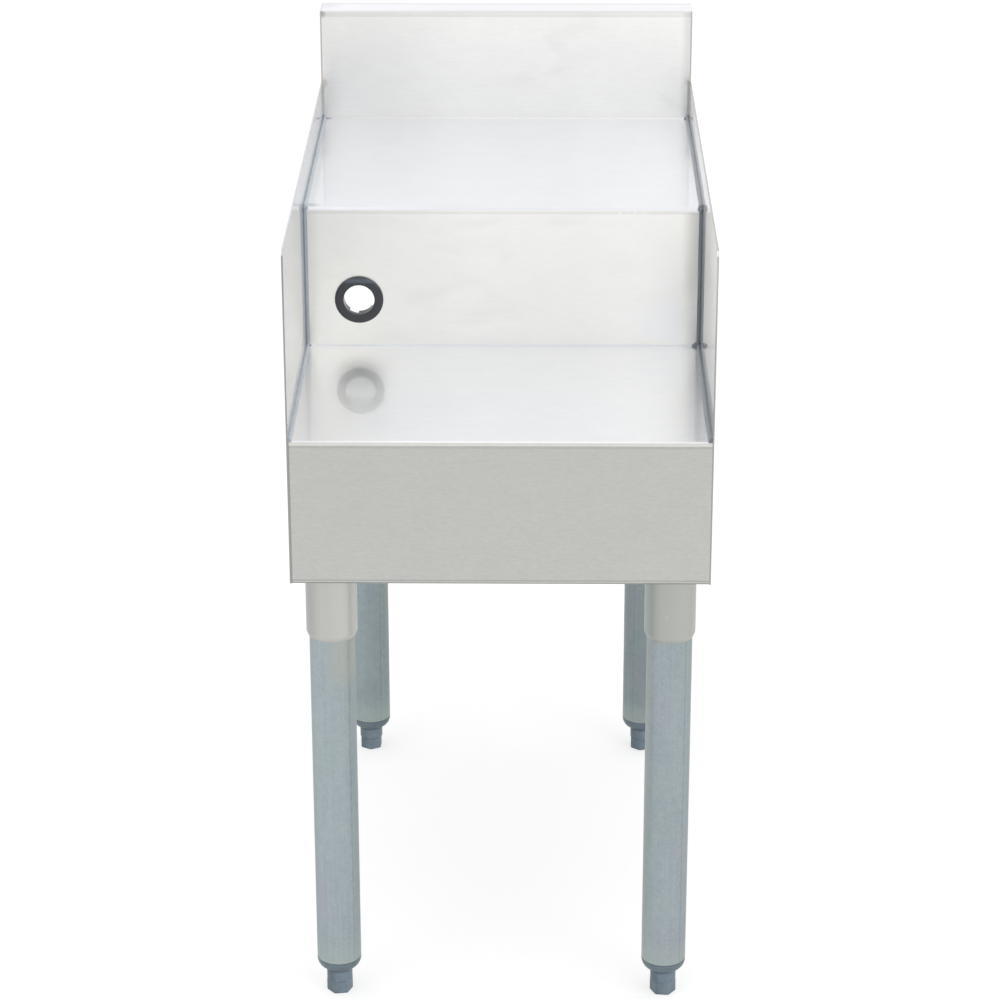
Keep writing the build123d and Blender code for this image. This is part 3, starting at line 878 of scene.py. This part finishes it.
def makeFootShape(s):
    corner = s["hexWidth"] / math.sqrt(3)
    top = s["hexHeight"] + s["collarHeight"]
    flat = s["hexWidth"] / 2
    runOut = s["collarRadius"] - flat
    hexagon = startCylinder("hexagon", 6, corner, 0, s["hexHeight"], 30)
    setMode(mode="OBJECT")
    barrel = startCylinder("barrel", 96, corner, 0, s["hexHeight"])
    pick(barrel, "edges", lambda point: near(point.z, 0))
    bpy.ops.mesh.bevel(offset=s["soleChamfer"], segments=1)
    pick(barrel, "edges", lambda point: near(point.z, s["hexHeight"]))
    bpy.ops.mesh.bevel(offset=runOut / 2, segments=1)
    setMode(mode="OBJECT")
    applyModifier(hexagon, "BOOLEAN", operation="INTERSECT", object=barrel, solver="EXACT")
    removePiece(barrel)
    setMode(mode="EDIT")
    finishPiece(hexagon, 20)

    collar = startCylinder("collar", 96, s["collarRadius"], s["hexHeight"], top)
    pick(collar, "edges", lambda point: near(point.z, top))
    bpy.ops.mesh.bevel(offset=s["collarChamfer"], segments=2)
    pick(collar, "faces", lambda point: near(point.z, s["hexHeight"]))
    push(-runOut)
    shrink = flat / s["collarRadius"]
    bpy.ops.transform.resize(value=(shrink, shrink, 1), center_override=(0, 0, s["hexHeight"] - runOut))
    pick(collar, "faces", lambda point: point.z > top - weldWithin)
    rim, depth = s["recess"]
    bpy.ops.mesh.inset(thickness=rim)
    push(-depth)
    finishPiece(collar, 30)
    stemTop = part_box("front_left_foot")[1][2]
    thread = makeThread(s["stemRadius"], s["threadDepth"], s["threadPitch"], top - s["threadRoot"], stemTop)
    core = startCylinder("core", 48, s["stemRadius"] - s["threadDepth"], top - s["coreRoot"], stemTop)
    pick(core, "edges", lambda point: near(point.z, stemTop))
    bpy.ops.mesh.bevel(offset=s["stemChamfer"], segments=2)
    finishPiece(core, 30)
    return joinPieces("footShape", [hexagon, collar, thread, core])


def paintFoot(name, s, corner):
    paint = Paint(name)
    axisX, axisY = legAxis(corner)
    centred = centreOn(paint, corner)
    x, y, z = paint.split(centred)
    clouds = paint.noise(paint.stretch(centred, (1, 1, 1), (0, axisX * 9, axisY)), s["cloudScale"], 3.0, 0.6)
    lines = paint.noise(centred, s["lineScale"], 2.0)
    # cloudy wear, and a painted light towards the right side
    wearAndSideLight = clouds.swing(s["cloudDepth"]) + x.fade(*s["litSide"]) + 0.5
    color = paint.mix(wearAndSideLight.fade(0.0, 1.0), s["color"], s["wearAndLightColor"])
    top = s["hexHeight"] + s["collarHeight"]
    stem = z.past(top, *s["stemFrom"])
    color = paint.mix(stem, color, s["stemColor"])
    tone = lines.swing(s["lineDepth"]) + 1.0
    tone = tone - z.past(top, *s["topShade"]) * (1 - stem) - z.fade(*s["soleShade"])
    if corner == "front_left":
        tone = tone - paint.spot(s["dent"], s["dentSize"]) * s["dentShade"]
    paint.set(baseColor=paint.tint(color, tone), metallic=0.85)
    paint.finish(s, clouds)
    return paint.material


insertSet = {
    "color": (0.145, 0.195, 0.23),
    "paleColor": (0.30, 0.38, 0.44),
    "cloudScale": 180.0,
    "cloudFrom": 0.3,
    "cloudDepth": 0.5,
    # painted light: paler towards the top
    "paleHeight": (0.001, 0.009, 0.0, 0.18),
    "fleckColor": (0.8, 0.8, 0.8),
    "fleckScale": 900.0, "flecks": (0.66, 0.72),
    "fleckPlace": (0.011, -0.018, 0.009),  # its height is above the plug's bottom
    "fleckSize": 0.009,
    "topShade": (-0.0012, -0.0003, 0.0, 0.6), "footShade": (0.0004, 0.0035, 0.42, 0.0),
    "bump": (0.15, 0.0004),
    "roughness": 0.46, "roughDepth": 0.2,
}


def paintInsert(corner, s):
    paint = Paint("mouldedPlug_" + corner)
    centred = centreOn(paint, corner)
    z = paint.split(centred)[2]
    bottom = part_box(corner + "_foot_insert")[0][2]
    clouds = paint.noise(centred, s["cloudScale"], 3.0)
    # random paler clouds, and paler towards the top as painted light
    pale = (clouds - s["cloudFrom"]) * s["cloudDepth"] + z.past(bottom, *s["paleHeight"])
    color = paint.mix(pale, s["color"], s["paleColor"])
    right, forward, up = s["fleckPlace"]
    flecks = paint.noise(centred, s["fleckScale"], 2.0).fade(*s["flecks"])
    flecked = flecks * paint.spot((right, forward, bottom + up), s["fleckSize"])
    color = paint.mix(flecked, color, s["fleckColor"])
    shade = 1 - z.past(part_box(corner + "_leg")[0][2], *s["topShade"]) - z.past(bottom, *s["footShade"])
    paint.set(baseColor=paint.tint(color, shade))
    paint.finish(s, clouds)
    return paint.material


footShape = makeFootShape(footSet)
for corner in corners:
    axisX, axisY = legAxis(corner)
    foot = copyPiece(footShape, (axisX, axisY, 0), math.radians(footSet["turn"][corner]))
    foot.name = corner + "_screw_foot"
    node = corner + "_foot"
    settle(foot, paintFoot("platedSteel_" + corner, footSet, corner), node, "plated_feet", node)
    putOn(corner + "_foot_insert", paintInsert(corner, insertSet))
removePiece(footShape)
print("feet made")


# Bolts, nuts and set screws under the channels, zinc plated
boltSet = {
    "spacing": 0.043,
    "headWidth": 0.010,
    "headHeight": 0.004,
    "radius": 0.003,
    "chamfer": 0.0006,
    "chamferShrink": 0.86,  # of the face beyond the chamfer
    "dish": (0.0007, 0.0003),  # how far in from that face's edge, and how deep
    "washerRim": 0.0008,
    "endChamfer": 0.0005,
    "boreGap": 0.0001,
    "boreOver": 0.0075,  # past each face of a nut, for the cut
    "threadPitch": 0.001,
    "threadDepth": 0.00045,
    "screwHeadFrom": 0.0297,  # of a set screw's head, from the leg's axis
    "screwTipGap": 0.00005,  # between its tip and the leg
    "color": (0.56, 0.56, 0.5),
    "tint": (0.62, 0.6, 0.46),
    "filmScale": 70.0, "film": (0.35, 0.65),
    "cloudScale": 220.0, "cloudDepth": 0.35,
    "bump": (0.15, 0.0002),
    "roughness": 0.36, "roughDepth": 0.3,
}


def makeHexagon(name, s, bottom, height):
    piece = startCylinder(name, 6, s["headWidth"] / math.sqrt(3), bottom + s["chamfer"], bottom + height, 30)
    pick(piece, "faces", lambda point: near(point.z, bottom + s["chamfer"]))
    push(-s["chamfer"])
    shrink, (rim, depth) = s["chamferShrink"], s["dish"]
    bpy.ops.transform.resize(value=(shrink, shrink, 1), center_override=(0, 0, bottom))
    bpy.ops.mesh.inset(thickness=rim)
    push(depth)
    return finishPiece(piece, 20)


def makeBolt(s, low, high):
    head = makeHexagon("head", s, low, s["headHeight"])
    shank = low + s["headHeight"]
    core = startCylinder("core", 24, s["radius"] - s["threadDepth"], shank, high)
    pick(core, "edges", lambda point: near(point.z, high))
    bpy.ops.mesh.bevel(offset=s["endChamfer"], segments=1)
    finishPiece(core, 30)
    thread = makeThread(s["radius"], s["threadDepth"], s["threadPitch"], shank, high)
    return joinPieces("bolt", [head, core, thread])


def makeNut(s, low, high):
    piece = makeHexagon("nut", s, low, high - low)
    setMode(mode="EDIT")
    pick(piece, "faces", lambda point: near(point.z, high))
    bpy.ops.mesh.inset(thickness=s["washerRim"])
    finishPiece(piece, 20)
    bore = startCylinder("bore", 32, s["radius"] + s["boreGap"], low - s["boreOver"], high + s["boreOver"])
    finishPiece(bore, 30)
    applyModifier(piece, "BOOLEAN", operation="DIFFERENCE", object=bore, solver="EXACT")
    removePiece(bore)
    return piece


def makeSetScrew(s, way):  # its head faces away from the leg, along Y
    tip = tubeSet["radius"] + s["screwTipGap"]
    end = s["screwHeadFrom"] + s["headHeight"]
    screw = makeBolt(s, -end, -tip)
    screw.rotation_euler = (math.radians(90 * way), 0, 0)
    activate(screw)
    bpy.ops.object.transform_apply(location=True, rotation=True, scale=True)
    return screw


def paintZinc(s):
    paint = Paint("zincPlate")
    clouds = paint.noise(paint.where, s["cloudScale"], 3.0)
    film = paint.noise(paint.where, s["filmScale"], 2.0)
    color = paint.mix(film.fade(*s["film"]), s["color"], s["tint"])
    paint.set(baseColor=paint.tint(color, clouds.swing(s["cloudDepth"]) + 1.0), metallic=0.95)
    paint.finish(s, clouds)
    return paint.material


def setOut(shape, name, places, node, material):  # copies of one shape, joined as one piece
    copies = [copyPiece(shape, place) for place in places]
    removePiece(shape)
    settle(joinPieces(name, copies), material, "station", "zinc_fasteners", node)


zinc = paintZinc(boltSet)
for end in ("front", "rear"):
    half = boltSet["spacing"] / 2
    places = []
    for corner in (end + "_left", end + "_right"):
        axisX, axisY = legAxis(corner)
        places += [(axisX + i * half, axisY + j * half, 0) for i in (-1, 1) for j in (-1, 1)]
    boltLow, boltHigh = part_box(end + "_socket_bolts")
    nutLow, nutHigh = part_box(end + "_socket_nuts")
    setOut(makeBolt(boltSet, boltLow[2], boltHigh[2]), end + "_bolts", places, end + "_socket_bolts", zinc)
    setOut(makeNut(boltSet, nutLow[2], nutHigh[2]), end + "_nuts", places, end + "_socket_nuts", zinc)

screwLow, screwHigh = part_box("socket_set_screws")
screws = []
for corner in corners:
    axisX, axisY = legAxis(corner)
    way = 1 if corner.startswith("front") else -1
    screw = makeSetScrew(boltSet, way)
    screws.append(copyPiece(screw, (axisX, axisY, (screwLow[2] + screwHigh[2]) / 2)))
    removePiece(screw)
settle(joinPieces("set_screws", screws), zinc, "station", "zinc_fasteners", "socket_set_screws")
print("fasteners made")


# Sealant: an uneven rounded bead down each inside corner, thinner up the backsplash
beadSet = {
    "width": 0.0030,
    "thinWidth": 0.0018,
    "round": 0.0021,
    "cutEvery": 0.009,
    "unevenness": 0.0004,
    "lumpSize": 0.04,
    "fuller": [(-0.4, -0.056, 1.15), (-0.28, -0.07, 1.1), (-0.25, -0.15, 1.1)],  # right: from Y, to Y, by
    "fullerHeight": 0.01,  # above the lower deck
    "thinFoot": 0.002,  # of the thin bead, above the upper deck
    "smearLumps": 0.00022,
    # the left bead lighter and the right darker: lit and shaded copies of one sealant, painted light and
    # shade
    "colors": {
        "left": ((0.39, 0.45, 0.505), (0.57, 0.63, 0.69)),
        "right": ((0.16, 0.18, 0.215), (0.31, 0.335, 0.38)),
    },
    "cloudScale": (110.0, 38.5, 38.5), "cloudDepth": 0.5,
    "lightness": 0.7,
    "uprightShade": 0.4, "uprightFoot": (0.001, 0.006),
    "uprightTop": (-0.004, -0.001, 1.0, 0.0),
    "slate": (0.215, 0.245, 0.29),
    "slateShare": 0.85,
    "levelHeight": (0.008, 0.004), "levelDepth": (-0.006, -0.012),
    "innerFrom": (-0.0012, -0.0004), "innerShade": 0.42,
    "levelLift": 0.3,
    # lighter on the left, darker on the right: painted light and shade
    "thinColors": {"left": (0.66, 0.66, 0.63), "right": (0.46, 0.46, 0.44)},
    "thinFrom": (0.003, 0.006),
    "roughness": 0.3,
    "smears": {  # side, corner, and the size inwards, along Y and along Z
        "left": {"back": (0.008, 0.0009, 0.0008), "nose": (0.0036, 0.004, 0.0034),
                 "cove": (0.004, 0.002, 0.002)},
        "right": {"back": (0.0045, 0.0016, 0.002), "nose": (0.004, 0.0045, 0.004),
                  "cove": (0.0065, 0.0034, 0.0036)},
    },
}


def makeStrip(name, side, route, across, width, s):
    inner = side * halfPanel
    piece = startLine(name, [(inner, y, z) for y, z in route])
    bpy.ops.mesh.select_all(action="SELECT")
    lift = (0, across[0] * width, across[1] * width)
    bpy.ops.mesh.extrude_edges_move(TRANSFORM_OT_translate={"value": lift})
    lifted = [(y + lift[1], z + lift[2]) for y, z in route]
    ends = (lifted[0], lifted[-1])
    if len(route) > 2:  # squares the ends, which the lift leaves slanted
        pick(piece, "verts", lambda point: any(near(point.y, y) and near(point.z, z) for y, z in ends))
        bpy.ops.transform.translate(value=(0, width, 0))
        lifted[0] = (lifted[0][0] + width, lifted[0][1])
        lifted[-1] = (lifted[-1][0] + width, lifted[-1][1])
    bpy.ops.mesh.select_mode(type="FACE")
    bpy.ops.mesh.select_all(action="SELECT")
    bpy.ops.mesh.extrude_region_move(TRANSFORM_OT_translate={"value": (-side * width, 0, 0)})

    def free(point):
        onLine = any(near(point.y, y) and near(point.z, z) for y, z in lifted)
        return onLine and near(point.x, inner - side * width)

    pick(piece, "edges", free)
    bpy.ops.mesh.bevel(offset=s["round"] * width / s["width"], segments=5, profile=0.45)
    for (y0, z0), (y1, z1) in zip(route, route[1:]):
        length = abs(y1 - y0) + abs(z1 - z0)
        cuts = round(length / s["cutEvery"])
        way = (0, (y1 - y0) / length, (z1 - z0) / length)
        for cut in range(1, cuts):
            share = cut / cuts
            bpy.ops.mesh.select_all(action="SELECT")
            middle = (inner, y0 + (y1 - y0) * share, z0 + (z1 - z0) * share)
            bpy.ops.mesh.bisect(plane_co=middle, plane_no=way)
    return finishPiece(piece, 60)


def makeSmear(name, side, place, reach, lumps, seed):  # a smear of sealant round a corner, flat on the panel
    unit = 0.001  # radius of the ball that it is stretched from
    piece = startPiece(name, bpy.ops.mesh.primitive_ico_sphere_add, subdivisions=4, radius=unit)
    bpy.ops.mesh.select_all(action="SELECT")
    bpy.ops.transform.vertex_random(offset=lumps, uniform=0.0, normal=1.0, seed=seed)
    bpy.ops.transform.resize(value=tuple(size / unit for size in reach), center_override=(0, 0, 0))
    bpy.ops.transform.translate(value=(side * halfPanel, *place))
    bpy.ops.mesh.select_all(action="SELECT")
    wall = (side * halfPanel, 0, 0)
    bpy.ops.mesh.bisect(plane_co=wall, plane_no=(side, 0, 0), use_fill=True, clear_outer=True)
    return finishPiece(piece, 60)


def swellBead(piece, side, s):  # makes stretches along the lower deck fuller
    activate(piece)
    setMode(mode="EDIT")
    for low, high, growth in s["fuller"]:
        pick(piece, "verts", lambda point: low < point.y < high and point.z < lowerDeck + s["fullerHeight"])
        bpy.ops.transform.resize(value=(growth, 1, growth), center_override=(side * halfPanel, 0, lowerDeck))
    setMode(mode="OBJECT")


def makeBead(name, side, s):
    spots = {"back": (backsplashFace, upperDeck), "nose": (riserFace, upperDeck),
             "cove": (riserFace, lowerDeck)}
    route = [*spots.values(), (beadFront, lowerDeck)]
    thin = [(backsplashFace, rimHeight), (backsplashFace, upperDeck + s["thinFoot"])]
    pieces = [makeStrip("deckBead", side, route, (-1, 1), s["width"], s),
              makeStrip("backBead", side, thin, (-1, 0), s["thinWidth"], s)]
    if side > 0:
        swellBead(pieces[0], side, s)
    for spot, reach in s["smears"]["right" if side > 0 else "left"].items():
        pieces.append(makeSmear(spot + "Smear", side, spots[spot], reach, s["smearLumps"], len(pieces)))
    bead = joinPieces(name, pieces)
    lumps = bpy.data.textures.new("sealantLumps", "CLOUDS")
    lumps.noise_scale = s["lumpSize"]
    applyModifier(bead, "DISPLACE", texture=lumps, strength=s["unevenness"], mid_level=0.0,
                  texture_coords="LOCAL", direction="NORMAL")
    return bead


def paintSealant(name, s):
    paint = Paint(name + "Sealant")
    x, y, z = paint.split()
    clouds = paint.noise(paint.where, s["cloudScale"], 3.0, 0.5, 0.3)
    upright = z.past(lowerDeck, *s["uprightFoot"]) * z.past(upperDeck, *s["uprightTop"])
    mixed = clouds.swing(s["cloudDepth"]) - upright * s["uprightShade"] + s["lightness"]
    # colour by side, lighter on the left and darker on the right: painted light and shade
    color = paint.mix(mixed.fade(0.0, 1.0), *s["colors"][name])
    level = z.past(lowerDeck, *s["levelHeight"]) * y.past(riserFace, *s["levelDepth"])
    if name == "right":
        color = paint.mix(level * s["slateShare"], color, s["slate"])
    inner = x.size().past(halfPanel, *s["innerFrom"])
    color = paint.tint(color, 1 - inner * (s["innerShade"] - level * s["levelLift"]))
    # thin bead's colour by side: painted light and shade
    color = paint.mix(z.past(upperDeck, *s["thinFrom"]), color, s["thinColors"][name])
    paint.set(baseColor=color, roughness=s["roughness"])
    return paint.material


for name, side in (("left", -1), ("right", 1)):
    bead = makeBead(name + "_sealant", side, beadSet)
    settle(bead, paintSealant(name, beadSet), "station", "sealant", name + "_sealant_bead")
print("sealant laid")


# Moulded black plastic of the cord grommet, and the plain galvanized sheet under the decks
grommetSet = {
    "color": (0.04, 0.044, 0.052),
    "paleColor": (0.14, 0.17, 0.21),
    "crownDown": 0.0035,  # painted highlight: pale middle of the flange, under its top
    "crownBand": (0.0005, 0.003),
    "crownDepth": (-0.0035, -0.001, 0.7, 0.21),
    "cloudScale": 90.0, "cloudDepth": 0.2,
    "roughness": 0.22, "roughDepth": 0.1,
    "fineScale": 1500.0,
    "bump": (0.03, 0.0001),
}


def paintGrommet(s):
    paint = Paint("blackGrommet")
    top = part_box("cord_grommet")[1][2]
    x, y, z = paint.split()
    clouds = paint.noise(paint.where, s["cloudScale"], 2.0)
    fine = paint.noise(paint.where, s["fineScale"], 2.0)
    # painted highlight along the flange, under its top
    crown = z.band(top - s["crownDown"], *s["crownBand"]) * y.past(riserFace, *s["crownDepth"])
    color = paint.mix(crown + clouds.swing(s["cloudDepth"]), s["color"], s["paleColor"])
    paint.set(baseColor=color)
    paint.finish(s, clouds, fine)
    return paint.material


sheetSet = {
    "dark": (0.42, 0.44, 0.46),
    "light": (0.62, 0.64, 0.65),
    "spangle": 85.0,
    "spangleShare": 0.7,
    "cloudScale": 30.0, "cloudDepth": 0.5,
    "fullAt": 0.8,
    "roughness": 0.34, "roughDepth": 0.2,
    "bump": (0.1, 0.0002),
}


def paintSheet(s):
    paint = Paint("galvanizedSheet")
    spangle = {"Vector": paint.where, "Scale": s["spangle"]}
    cells = paint.add("TexVoronoi", {"feature": "F1"}, spangle, out="Color")
    shade = paint.add("SeparateColor", None, {0: cells})
    clouds = paint.noise(paint.where, s["cloudScale"], 3.0)
    mixed = shade * s["spangleShare"] + clouds.swing(s["cloudDepth"])
    color = paint.mix(mixed.fade(0.0, s["fullAt"]), s["dark"], s["light"])
    paint.set(baseColor=color, metallic=0.9, normal=paint.bump(shade, *s["bump"]))
    paint.set(roughness=shade * s["roughDepth"] + s["roughness"])
    return paint.material


putOn("cord_grommet", paintGrommet(grommetSet))
galvanized = paintSheet(sheetSet)
for node in ("lower_deck_stiffener", "upper_deck_stiffener", "front_leg_channel", "rear_leg_channel"):
    putOn(node, galvanized)
print("finishes on")
